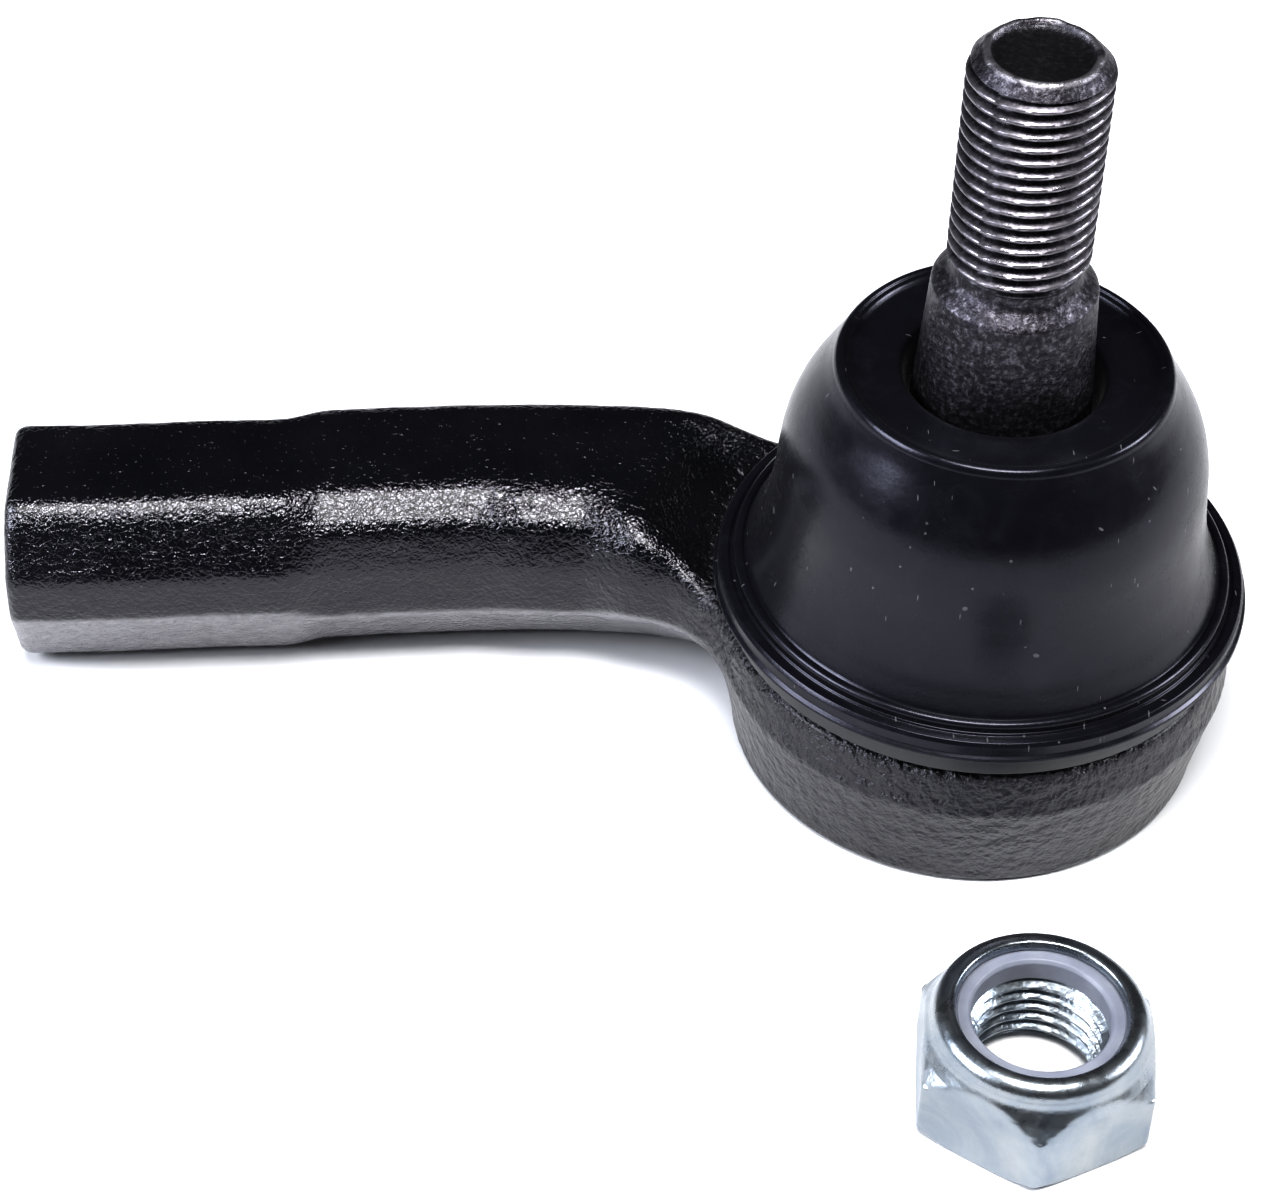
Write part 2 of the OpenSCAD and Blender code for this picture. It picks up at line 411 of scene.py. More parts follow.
def forge_paint():
    """Gloss black paint over a rough forged skin: broken highlights on the arm, finer and duller on the cup."""
    m, nt, b, co = new_mat("forge_paint")
    n = N(nt, co)
    x, y, z = n.xyz()
    # 0 on the arm, 1 on the cup
    r2 = n.math("SQRT", n.math("ADD", n.math("MULTIPLY", x, x), n.math("MULTIPLY", y, y)))
    cup = n.range(r2, 0.0235, 0.0275, 1.0, 0.0)
    under = n.range(z, 0.0, 0.006, 1.0, 0.0)
    # paint skin: pebbles parted by narrow veins, with a few sharp pits
    wx = n.noise(700, 2, 0.5)
    veins = n.ramp(n.voronoi(1650, "DISTANCE_TO_EDGE", 1.0, co=n.warp(900, 0.0009)), [(0.0, 0.0), (0.12, 0.6), (0.42, 1.0)])
    fine = n.noise(1900, 3, 0.62, 0.3)
    mid = n.noise(760, 3, 0.55, 0.9)
    big = n.noise(170, 2, 0.5)
    pits = n.ramp(n.voronoi(1500, "F1", 1.0), [(0.0, 0.0), (0.22, 1.0)])
    skin = n.math("ADD", n.math("MULTIPLY", veins, 0.17), n.math("ADD", n.math("MULTIPLY", fine, 0.50), n.math("MULTIPLY", mid, 0.85)))
    skin = n.math("ADD", skin, n.math("ADD", n.math("MULTIPLY", wx, 0.2), n.math("MULTIPLY", pits, 0.20)))
    cup_skin = n.math("ADD", n.math("MULTIPLY", n.noise(1500, 3, 0.6, 0.1), 2.2), n.math("MULTIPLY", n.noise(820, 2, 0.5, 0.15), 4.0))
    h = n.math("ADD", n.math("MULTIPLY", skin, n.math("SUBTRACT", 1.0, cup)), n.math("MULTIPLY", cup_skin, cup))
    n1 = n.bump(big, 0.25, 0.0005)
    n2 = n.bump(h, 1.0, 0.00019, n1)
    nt.links.new(n2, b.inputs["Normal"])
    base = n.ramp(n.noise(90, 4, 0.6), [(0.3, (0.0022, 0.0022, 0.0034)), (0.7, (0.005, 0.0048, 0.0068))])
    dust = n.ramp(n.noise(2600, 1, 0.5), [(0.735, 0.0), (0.76, 1.0)])
    base = n.mix(n.math("MULTIPLY", dust, 0.35), base, (0.11, 0.11, 0.12))
    # painted reflection of the white floor: the faces that look down, off the cup, get a mottled light grey base
    # colour
    underside_floor_reflection = n.range(n.normal_z(), -0.18, -0.42, 0.0, 1.0)
    underside_floor_reflection = n.math("MULTIPLY", underside_floor_reflection, n.math("SUBTRACT", 1.0, cup))
    base = n.mix(underside_floor_reflection, base, n.ramp(n.noise(900, 4, 0.7), [(0.3, (0.15, 0.145, 0.155)), (0.7, (0.26, 0.25, 0.265))]))
    nt.links.new(base, b.inputs["Base Color"])
    ro = n.ramp(n.noise(420, 3, 0.6), [(0.3, 0.08), (0.75, 0.16)])
    ro_c = n.ramp(n.noise(700, 3, 0.6), [(0.3, 0.28), (0.75, 0.42)])
    rough = n.math("ADD", n.math("MULTIPLY", ro, n.math("SUBTRACT", 1.0, cup)), n.math("MULTIPLY", ro_c, cup))
    nt.links.new(rough, b.inputs["Roughness"])
    b.inputs["Specular IOR Level"].default_value = 0.55
    b.inputs["Specular Tint"].default_value = (0.93, 0.91, 1.0, 1)
    b.inputs["Coat Weight"].default_value = 0.12
    b.inputs["Coat Roughness"].default_value = 0.12
    return m


def rubber():
    m, nt, b, co = new_mat("boot_rubber")
    n = N(nt, co)
    big = n.noise(70, 4, 0.6)
    base = n.ramp(big, [(0.3, (0.0026, 0.0026, 0.0044)), (0.75, (0.005, 0.005, 0.0078))])
    bloom = n.ramp(n.noise(240, 5, 0.65, 1.2), [(0.5, 0.0), (0.8, 1.0)])
    base = n.mix(n.math("MULTIPLY", bloom, 0.2), base, (0.022, 0.022, 0.03))
    # dust: specks, and short fibres laid at two angles
    specks = n.ramp(n.voronoi(520, "F1", 1.0), [(0.045, 1.0), (0.075, 0.0)])
    keep = n.ramp(n.noise(60, 2, 0.5), [(0.50, 0.0), (0.62, 1.0)])
    f1 = n.ramp(n.voronoi(170, "F1", 1.0, co=n.scaled((6.0, 1.0, 1.2), rot=(0.4, 0.2, 0.7))), [(0.05, 1.0), (0.07, 0.0)])
    f2 = n.ramp(n.voronoi(150, "F1", 1.0, co=n.scaled((1.1, 5.0, 1.5), rot=(0.9, 0.5, 2.1))), [(0.04, 1.0), (0.06, 0.0)])
    dust = n.math("MAXIMUM", n.math("MULTIPLY", specks, keep), n.math("MULTIPLY", n.math("MAXIMUM", f1, f2), 0.75), clamp=True)
    base = n.mix(n.math("MULTIPLY", dust, 0.5), base, (0.2, 0.2, 0.21))
    nt.links.new(base, b.inputs["Base Color"])
    ro = n.ramp(n.noise(330, 4, 0.6, 0.6), [(0.25, 0.20), (0.75, 0.31)])
    rough = n.math("ADD", ro, n.math("MULTIPLY", dust, 0.25))
    nt.links.new(rough, b.inputs["Roughness"])
    scratch = n.noise(900, 2, 0.5, 0.2, co=n.scaled((0.12, 1.0, 1.0), rot=(0.3, 0.8, 0.5)))
    fine = n.noise(2200, 3, 0.6)
    hh = n.math("ADD", n.math("MULTIPLY", fine, 0.5), n.math("MULTIPLY", scratch, 0.5))
    n1 = n.bump(n.noise(120, 2, 0.5), 0.12, 0.0006)
    n2 = n.bump(hh, 0.16, 0.00012, n1)
    n3 = n.bump(dust, 0.3, 0.00006, n2)
    nt.links.new(n3, b.inputs["Normal"])
    b.inputs["Specular IOR Level"].default_value = 0.36
    b.inputs["Specular Tint"].default_value = (0.84, 0.83, 1.0, 1)
    b.inputs["Sheen Weight"].default_value = 0.02
    b.inputs["Sheen Roughness"].default_value = 0.45
    return m


def stud_metal():
    """Dark phosphated steel, rubbed bright on the crests and edges."""
    m, nt, b, co = new_mat("stud_steel")
    n = N(nt, co)
    x, y, z = n.xyz()
    r = n.math("SQRT", n.math("ADD", n.math("MULTIPLY", x, x), n.math("MULTIPLY", y, y)))
    grain = n.noise(1900, 4, 0.7)
    blotch = n.noise(210, 4, 0.6, 0.8)
    base = n.ramp(grain, [(0.30, (0.013, 0.012, 0.016)), (0.52, (0.042, 0.039, 0.047)), (0.80, (0.22, 0.21, 0.24))])
    thread = n.math("MULTIPLY", n.range(z, 0.0524, 0.0530, 0.0, 1.0), n.range(z, 0.0718, 0.0722, 1.0, 0.0))
    crest = n.math("MULTIPLY", n.range(r, 0.00555, 0.00592, 0.0, 1.0), thread)
    # painted shade: the base colour is darkened in the thread roots
    root = n.math("MULTIPLY", n.range(r, 0.0052, 0.0056, 1.0, 0.0), thread)
    worn = n.math("MULTIPLY", crest, n.ramp(n.noise(600, 3, 0.6, 1.0), [(0.34, 0.25), (0.7, 1.0)]))
    base = n.mix(worn, base, (0.27, 0.255, 0.28))
    base = n.mix(n.math("MULTIPLY", root, 0.75), base, (0.02, 0.02, 0.023))
    # broken rim of the tip
    rim = n.math("MULTIPLY", n.math("MULTIPLY", n.range(z, 0.0729, 0.0731, 0.0, 1.0), n.range(r, 0.0040, 0.0043, 0.0, 1.0)), n.ramp(n.noise(500, 2, 0.5), [(0.38, 0.15), (0.5, 1.0)]))
    dish = n.math("MULTIPLY", n.range(z, 0.0722, 0.0725, 0.0, 1.0), n.range(r, 0.0040, 0.0042, 1.0, 0.0))
    base = n.mix(n.math("MULTIPLY", dish, 0.7), base, (0.03, 0.03, 0.034))
    base = n.mix(n.math("MULTIPLY", rim, 0.7), base, (0.26, 0.25, 0.27))
    # polished ball below
    ball = n.range(z, 0.0255, 0.0275, 1.0, 0.0)
    base = n.mix(ball, base, (0.45, 0.45, 0.47))
    nt.links.new(base, b.inputs["Base Color"])
    b.inputs["Metallic"].default_value = 0.88
    ro = n.ramp(blotch, [(0.3, 0.30), (0.7, 0.46)])
    ro = n.math("SUBTRACT", ro, n.math("MULTIPLY", worn, 0.10))
    ro = n.math("SUBTRACT", ro, n.math("MULTIPLY", ball, 0.22), clamp=True)
    nt.links.new(ro, b.inputs["Roughness"])
    pits = n.noise(1500, 4, 0.65)
    lines = n.noise(500, 2, 0.5, co=n.scaled((0.3, 0.3, 7.0)))
    rough_zone = n.math("SUBTRACT", 1.0, n.math("MULTIPLY", thread, 0.65))
    n1 = n.bump(n.math("MULTIPLY", pits, rough_zone), 0.8, 0.00016)
    n2 = n.bump(lines, 0.25, 0.00008, n1)
    nt.links.new(n2, b.inputs["Normal"])
    return m


def zinc():
    m, nt, b, co = new_mat("nut_zinc")
    n = N(nt, co)
    tint = n.ramp(n.noise(130, 4, 0.6, 1.0), [(0.25, (0.22, 0.26, 0.31)), (0.5, (0.32, 0.35, 0.38)), (0.8, (0.42, 0.43, 0.43))])
    haze = n.ramp(n.noise(420, 5, 0.7, 0.8), [(0.45, 0.0), (0.8, 1.0)])
    base = n.mix(n.math("MULTIPLY", haze, 0.45), tint, (0.25, 0.29, 0.33))
    nt.links.new(base, b.inputs["Base Color"])
    b.inputs["Metallic"].default_value = 1.0
    x, y, z = n.xyz()
    hexpart = n.range(z, 0.0066, 0.0074, 1.0, 0.0)
    ro = n.ramp(n.noise(380, 4, 0.65, 0.6), [(0.25, 0.22), (0.75, 0.36)])
    ro = n.math("ADD", ro, n.math("MULTIPLY", hexpart, 0.09))
    nt.links.new(ro, b.inputs["Roughness"])
    strokes = n.noise(700, 3, 0.6, co=n.scaled((1.0, 1.0, 0.14)))
    pits = n.noise(1300, 3, 0.6)
    n1 = n.bump(n.math("MULTIPLY", strokes, hexpart), 0.9, 0.00022)
    n2 = n.bump(n.noise(260, 2, 0.5), 0.35, 0.00020, n1)
    n3 = n.bump(pits, 0.3, 0.0001, n2)
    nt.links.new(n3, b.inputs["Normal"])
    return m


def nylon():
    m, nt, b, co = new_mat("insert_nylon")
    n = N(nt, co)
    c = n.ramp(n.noise(300, 3, 0.6), [(0.3, (0.17, 0.18, 0.22)), (0.7, (0.23, 0.24, 0.28))])
    nt.links.new(c, b.inputs["Base Color"])
    nt.links.new(n.ramp(n.noise(800, 3, 0.6), [(0.3, 0.34), (0.7, 0.46)]), b.inputs["Roughness"])
    b.inputs["Subsurface Weight"].default_value = 0.12
    b.inputs["Specular IOR Level"].default_value = 0.35
    b.inputs["Subsurface Radius"].default_value = (0.001, 0.0012, 0.0014)
    b.inputs["Subsurface Scale"].default_value = 0.6
    nt.links.new(n.bump(n.noise(500, 2, 0.5, co=n.scaled((1, 1, 5))), 0.15, 0.0001), b.inputs["Normal"])
    return m


def simple(name, c0, c1, metal, r0, r1, scale=500, bump=0.2, dist=0.0001, spec=0.5):
    m, nt, b, co = new_mat(name)
    n = N(nt, co)
    nt.links.new(n.ramp(n.noise(scale * 0.4, 4, 0.6), [(0.3, c0), (0.7, c1)]), b.inputs["Base Color"])
    b.inputs["Metallic"].default_value = metal
    b.inputs["Specular IOR Level"].default_value = spec
    nt.links.new(n.ramp(n.noise(scale, 4, 0.6, 0.5), [(0.3, r0), (0.7, r1)]), b.inputs["Roughness"])
    nt.links.new(n.bump(n.noise(scale * 2.5, 3, 0.6), bump, dist), b.inputs["Normal"])
    return m


def put(o, mat, body, node=None):
    o.data.materials.clear()
    o.data.materials.append(mat)
    if body:
        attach(o, body)
    if node:
        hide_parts(node)
    return o


PAINT, RUBBER, STUD, ZINC, NYLON = forge_paint(), rubber(), stud_metal(), zinc(), nylon()
RING = simple("ring_paint", (0.011, 0.011, 0.0135), (0.02, 0.02, 0.024), 0.0, 0.33, 0.46, 420, 0.14, 0.00012, 0.55)
CAP = simple("cap_plate", (0.33, 0.34, 0.36), (0.5, 0.51, 0.53), 1.0, 0.3, 0.46, 380, 0.25, 0.0001)
SPRING = simple("spring_steel", (0.2, 0.2, 0.21), (0.36, 0.36, 0.38), 1.0, 0.26, 0.4, 500, 0.15, 0.0001)
ACETAL = simple("seat_acetal", (0.74, 0.71, 0.62), (0.82, 0.8, 0.72), 0.0, 0.36, 0.5, 400, 0.15, 0.0001)


# ------------------------------------------------------------------ housing
def section_table():
    """Radius of the arm's cross-section over angle, at stations along it. Angle 0 points to +Y, 90 up."""
    th = np.radians(np.arange(0, 360, 3.0))

    def radial(poly, sig):
        poly = P(poly)
        fine = np.radians(np.arange(0, 360, 0.5))
        r = np.full(len(fine), 1e9)
        for i in range(len(poly)):
            a, b = poly[i], poly[(i + 1) % len(poly)]
            nrm = P([(b - a)[1], -(b - a)[0]]); nrm /= np.linalg.norm(nrm)
            if nrm @ a < 0:
                nrm = -nrm
            cosv = np.cos(fine) * nrm[0] + np.sin(fine) * nrm[1]
            with np.errstate(divide="ignore"):
                rr = np.where(cosv > 1e-3, (nrm @ a) / np.maximum(cosv, 1e-3), 1e9)
            r = np.minimum(r, rr)
        k = np.exp(-0.5 * (np.arange(-60, 61) * 0.5 / sig) ** 2); k /= k.sum()
        rs = np.convolve(np.r_[r[-60:], r, r[:60]], k, "valid")
        return np.interp(th, fine, rs[:len(fine)])
    # outlines seen along +X: y forward is negative, corners from the back top round the front
    wrench = [(5.4, 9.4), (-5.2, 9.3), (-6.9, 8.0), (-9.9, 3.3), (-9.9, -1.0), (-5.5, -9.4), (5.4, -9.4), (9.8, -1.9), (9.8, 1.9)]
    swell = [(5.5, 9.5), (-5.3, 9.1), (-8.8, 6.6), (-10.0, 3.1), (-10.0, -2.5), (-5.5, -9.5), (5.4, -9.5), (8.8, -2.7), (8.8, 2.7)]
    bend = [(5.5, 9.5), (-5.8, 9.3), (-9.4, 7.2), (-10.9, 3.4), (-10.9, -1.9), (-5.5, -9.4), (5.4, -9.5), (8.8, -2.7), (8.8, 2.7)]
    root = [(5.5, 9.5), (-8.5, 8.9), (-11.9, 7.0), (-13.0, 4.2), (-13.0, -0.6), (-5.7, -9.3), (5.4, -9.5), (8.7, -2.7), (8.7, 2.7)]
    throat = [(5.5, 9.5), (-10.5, 8.3), (-13.3, 5.6), (-14.2, 3.7), (-14.2, -0.9), (-6.5, -9.0), (5.4, -9.4), (8.2, -2.7), (8.2, 2.7)]
    st = [(-92.0, 12.0, wrench, 1.7), (-84.0, 12.3, wrench, 1.7), (-62.6, 13.35, wrench, 1.7), (-58.2, 14.6, swell, 2.6), (-52.0, 15.1, swell, 3.0),
          (-45.0, 15.45, swell, 3.0), (-40.0, 15.55, bend, 2.8), (-35.5, 15.5, bend, 2.6), (-30.0, 15.3, root, 2.4), (-24.0, 14.7, throat, 2.6),
          (-14.0, 12.6, throat, 4.0), (-4.0, 9.5, throat, 5.0)]
    xs = P([s_[0] for s_ in st]); yc = P([s_[1] for s_ in st])
    tab = P([radial(s_[2], s_[3]) for s_ in st])
    return xs, yc, tab


def smooth_interp(x, xs, vals):
    """Monotone smooth interpolation along the stations."""
    i = np.clip(np.searchsorted(xs, x) - 1, 0, len(xs) - 2)
    t = np.clip((x - xs[i]) / (xs[i + 1] - xs[i]), 0, 1)
    t = t * t * (3 - 2 * t) * 0.55 + t * 0.45
    return i, t


def housing():
    h = 0.4
    lo = P([-90.0, -25.2, -1.2]); hi = P([25.2, 27.2, 24.0])
    n = np.ceil((hi - lo) / h).astype(int) + 1
    # the base plane falls between grid points
    lo[2] = -h * 2.5
    X = (lo[0] + h * np.arange(n[0])).astype(np.float32)[:, None, None]
    Y = (lo[1] + h * np.arange(n[1])).astype(np.float32)[None, :, None]
    Z = (lo[2] + h * np.arange(n[2])).astype(np.float32)[None, None, :]
    xs, yc, tab = section_table()
    x1 = X[:, 0, 0]
    i, t = smooth_interp(x1, xs, yc)
    ycx = yc[i] * (1 - t) + yc[i + 1] * t
    rows = tab[i] * (1 - t)[:, None] + tab[i + 1] * t[:, None]      # nx by nth
    rows = np.concatenate([rows, rows[:, :1]], 1)
    U = Y[0][None, :, :] - ycx[:, None, None]
    W = np.broadcast_to(Z - MID_Z, (1, 1, n[2]))
    ang = np.degrees(np.arctan2(W, U)) % 360
    rho = np.hypot(U, W)
    a = ang / 3.0
    a0 = np.minimum(a.astype(int), rows.shape[1] - 2)
    fr = a - a0
    ii = np.arange(n[0])[:, None, None]
    Rr = rows[ii, a0] * (1 - fr) + rows[ii, a0 + 1] * fr
    arm = (rho - Rr) * 0.96
    arm = smax(arm, -ARM_LEN - X, 1.3)
    arm = smax(arm, X + 6.0, 2.0)
    r = np.hypot(X, Y)
    # cup with draft above and below the forging line, and a faint ridge on it
    zz = [-3, 0, 1.2, 9.6, 10.8, 14.7, 30]
    rr = [20.7, 20.9, 21.25, 22.85, 22.85, 22.45, 22.4]
    Rz = np.interp(Z, zz, rr) + 0.2 * np.exp(-((Z - MID_Z) / 0.55) ** 2)
    cup = smax(r - Rz, Z - SHOULDER, 0.5)
    f = smin(arm, cup, 5.5)
    # sink for the boot, cut into the arm's root
    sink = np.maximum((r - (24.05 + (Z - SHOULDER) * 1.5)) * 0.555, SHOULDER - Z)
    f = smax(f, -sink, 1.3)
    f = np.minimum(f, np.maximum(r - 21.3, Z - 16.5))
    f = np.minimum(f, smax(r - 17.2, Z - 22.6, 0.6))
    f = smax(f, -Z, 0.9)
    V, Fc = surface_nets(f, lo, h)
    o = obj_from("housing_forging", V, Fc)
    # take out the grid's stepping, then put in the forged skin's unevenness
    bm = bmesh.new(); bm.from_mesh(o.data)
    for _ in range(2):
        bmesh.ops.smooth_vert(bm, verts=[v for v in bm.verts if v.co.z > 0.0007 or True], factor=0.4, use_axis_x=True, use_axis_y=True, use_axis_z=True)
    bm.to_mesh(o.data); bm.free()
    fix_normals(o)

    def skin(co, nr):
        d = 0.030 * noise_at(co, 4.5, 2) + 0.028 * noise_at(co, 1.05, 2, 7.3)
        rr_ = np.hypot(co[:, 0], co[:, 1])
        keep = np.clip((co[:, 2] - 0.2) / 1.0, 0, 1)
        keep *= np.where((rr_ < 23.4) & (co[:, 2] > 14.2), 0.0, 1.0)
        cupw = np.where(rr_ < 23.6, 0.6, 1.0)
        return d * keep * cupw
    displace(o, skin)
    # machined cavity: lip, closing-plate recess, bore, socket and mouth
    arc = [(13.04 * math.cos(t), BALL_Z + 13.04 * math.sin(t)) for t in np.linspace(0.03, math.asin(7.0 / 13.04), 14)]
    prof = [(0, -2.0), (14.3, -2.0), (14.3, 0.0), (13.75, 0.5), (13.7, 0.9), (15.22, 0.9), (15.22, 2.2), (13.04, 2.2),
            (13.04, BALL_Z)] + arc + [(11.7, 22.9), (12.7, 24.5), (0, 24.5)]
    cut(o, lathe("c1", prof, 192))
    # threaded bore of the arm, M14 x 1.5, drilled to a point
    nth, per = ((96, 12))
    pitch, depth = 1.5, 39.0
    th = np.linspace(0, 2 * math.pi, nth, endpoint=False)
    rws = [-3.0, (P(9.0), P(-3.0))]
    rws.append((P(7.75), P(-0.02)))
    zs = np.arange(0.0, 34.0, pitch / per)
    for z in zs:
        ph = (z / pitch - th / (2 * math.pi)) % 1.0
        tri = np.clip(np.abs(ph - 0.5) * 2 * 1.25 - 0.08, 0, 1)     # 0 in the groove, 1 on the crest
        fade = min(1.0, max(0.0, (34.0 - z) / 2.0))
        rad = 6.2 + 0.81 * (1 - tri) * fade
        chamf = 7.3 - z
        rws.append((np.maximum(rad, chamf), P(z + 0.001)))
    rws += [(P(6.2), P(34.3)), (P(6.2), P(depth)), (P(0.6), P(depth + 3.4)), depth + 3.7]
    tap = grid_of_rows("c2", rws, nth)
    fix_normals(tap)
    M = Matrix.Translation(Vector((-ARM_LEN * MM, (ARM_Y - 0.55) * MM, MID_Z * MM))) @ Matrix.Rotation(math.radians(1.7), 4, "Z") @ Matrix.Rotation(math.radians(90), 4, "Y")
    tap.data.transform(M)
    cut(o, tap)
    clean(o, 38)
    return put(o, PAINT, "housing", "forged_housing")


# ------------------------------------------------------------------ ball stud
def stud():
    n = 168
    per = 15
    th = np.linspace(0, 2 * math.pi, n, endpoint=False)
    tap = lambda z: 6.95 + (51.0 - z) * 0.0625
    rows = [BALL_Z - 10.0]
    rows.append((P(2.0), P(BALL_Z - 10.0)))
    a0 = -math.acos(4.4 / 11.0)
    rows.append((P(4.3), P(BALL_Z - 10.0)))
    a1 = math.acos(6.0 / 11.0)
    for a in np.linspace(a0, a1, 44):
        rows.append((P(11.0 * math.cos(a)), P(BALL_Z + 11.0 * math.sin(a))))
    neck = spline([(6.0, 24.9), (5.95, 26.2), (6.05, 27.6), (6.5, 29.0), (7.3, 30.2), (8.02, 31.2), (8.16, 31.6)], 5)
    rows += [(P(r), P(z)) for r, z in neck]
    for z in np.linspace(32.2, 49.0, 30):
        rows.append((P(tap(z)), P(z)))
    sh = spline([(tap(49.5), 49.5), (7.0, 50.1), (6.94, 50.35), (6.6, 50.7), (6.1, 51.1), (5.72, 51.45), (5.5, 51.85), (5.44, 52.4)], 5)
    rows += [(P(r), P(z)) for r, z in sh]
    pitch, z0 = 1.25, 52.55
    zs = np.arange(z0, 72.05, pitch / per)
    wob = 0.012 * np.sin(3 * th + 0.4)
    for z in zs:
        ph = (z / pitch - th / (2 * math.pi) + 0.173) % 1.0
        tri = 1 - np.abs(ph - 0.5) * 2                   # 1 on the crest
        prof = np.clip((tri - 0.14) / 0.70, 0, 1)
        prof = prof * 0.86 + 0.14 * np.sin(prof * math.pi / 2)
        full = 5.245 + 0.745 * prof
        lead = float(np.clip((z - 52.6) / 1.0, 0, 1))
        run = 5.42 + (full - 5.42) * lead if lead < 1 else full
        top = np.minimum(run, 6.0 - max(0.0, z - 71.8))
        rows.append((top + wob * 0, P(z)))
    for r, z in [(5.70, 72.12), (5.32, 72.52), (5.0, 72.86), (4.84, 73.04), (4.68, 73.19), (4.50, 73.27), (4.33, 73.24), (4.2, 73.10), (4.1, 72.9), (3.9, 72.74), (3.5, 72.64),
                 (3.0, 72.60), (2.0, 72.55), (1.0, 72.52)]:
        rag = 0.03 * np.sin(5 * th + 1.0) + 0.03 * np.sin(9 * th + 2.2) + 0.02 * np.sin(17 * th) if 3.6 < r < 4.9 else 0 * th
        rows.append((P(r) + rag, P(z) + rag * 0.5))
    rows.append(72.52)
    o = grid_of_rows("stud", rows, n)
    fix_normals(o)
    o.data.shade_smooth()
    o.data.set_sharp_from_angle(angle=math.radians(50))
    return put(o, STUD, "stud", "ball_stud")


# ------------------------------------------------------------------ dust boot
def boot():
    tap = lambda z: 6.95 + (51.0 - z) * 0.0625
    flange = fillet([(18.3, RING_TOP + 0.02), (22.7, RING_TOP + 0.02), (22.75, 17.32), (23.45, 17.32), (23.66, 17.5), (23.6, 17.74), (23.32, 17.95),
                     (23.3, 18.85), (23.05, 19.2), (22.45, 19.25), (22.1, 19.0), (21.92, 19.3)],
                    [0.1, 0.05, 0.05, 0.1, 0.12, 0.12, 0.12, 0.2, 0.15, 0.2, 0.12, 0.15], 4)
    bead = [(21.42 + 0.5 * math.cos(a), 19.7 + 0.5 * math.sin(a)) for a in np.radians(np.linspace(-5, 140, 10))]
    wall = spline([(20.86, 20.2), (20.62, 20.75), (20.28, 21.6), (19.8, 22.9), (19.36, 24.5), (19.02, 26.4), (18.78, 28.4), (18.62, 30.4),
                   (18.42, 32.3), (18.04, 34.1), (17.45, 35.8), (16.65, 37.4), (15.8, 38.85), (15.08, 40.05), (14.62, 40.95)], 6)
    rim = spline([(14.54, 41.1), (14.44, 41.38), (14.24, 41.66), (13.97, 41.8), (13.74, 41.77), (13.6, 41.6), (13.47, 41.54), (13.3, 41.5), (13.1, 41.32), (12.8, 41.12),
                  (12.2, 40.98), (11.3, 40.92), (10.4, 40.95), (9.6, 41.0), (9.1, 40.96), (8.78, 40.8), (8.55, 40.4), (8.42, 39.7), (8.25, 39.0), (8.0, 38.45)], 5)
    neck = [(tap(38.1) + 0.05, 38.1), (tap(37.0) + 0.05, 37.0), (tap(35.7) + 0.05, 35.7)]
    inner = spline([(8.6, 35.35), (8.85, 36.0), (8.72, 36.7), (8.85, 37.6), (9.6, 38.3), (11.4, 38.75), (13.2, 38.8), (14.5, 38.1), (15.6, 36.6), (16.2, 35.0), (16.5, 33.2),
                    (16.7, 31.2), (17.0, 29.0), (17.4, 27.0), (17.9, 25.0), (18.3, 23.0), (18.45, 21.0), (18.35, 19.0)], 5)
    prof = [tuple(p) for p in flange] + bead + [tuple(p) for p in wall] + [tuple(p) for p in rim] + neck + [tuple(p) for p in inner]
    out = [prof[0]]
    for p in prof[1:]:
        if math.hypot(p[0] - out[-1][0], p[1] - out[-1][1]) > 0.02:
            out.append(p)

    def wob(th, z, r):
        s = max(0.0, min(1.0, (z - 22.0) / 12.0)) * (1.0 if r > 9.2 else 0.0)
        return s * (0.05 * np.sin(2 * th + 0.7) + 0.03 * np.sin(3 * th + 2.1) + 0.015 * np.sin(7 * th))
    o = lathe("rubber_boot", out, 224, wobble=wob)
    o.data.shade_smooth()
    o.data.set_sharp_from_angle(angle=math.radians(55))
    o.data.materials.append(RUBBER)
    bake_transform(o)
    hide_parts("dust_boot")
    return o


def base_ring():
    p = fillet([(21.33, SHOULDER + 0.02), (22.2, SHOULDER + 0.02), (22.5, SHOULDER + 0.3), (22.5, 17.1), (22.35, 17.33), (21.4, 17.68), (18.25, 17.68), (18.25, 16.62), (21.33, 16.62)],
               [0.05, 0.2, 0.2, 0.1, 0.1, 0.2, 0.15, 0.15, 0.2], 4)
    o = lathe("boot_press_ring", p, 224)
    o.data.set_sharp_from_angle(angle=math.radians(40))
    return put(o, RING, "housing", "boot_base_ring")


def end_cap():
    p = [(0, 1.28), (5.6, 1.28), (6.4, 1.2), (7.2, 0.98), (8.0, 0.92), (14.9, 0.92), (15.15, 1.1), (15.17, 2.15), (8.3, 2.17), (7.4, 2.3), (6.8, 2.42), (0, 2.44)]
    o = lathe("closing_plate", p, 160)
    o.data.set_sharp_from_angle(angle=math.radians(35))
    return put(o, CAP, "housing", "end_cap")


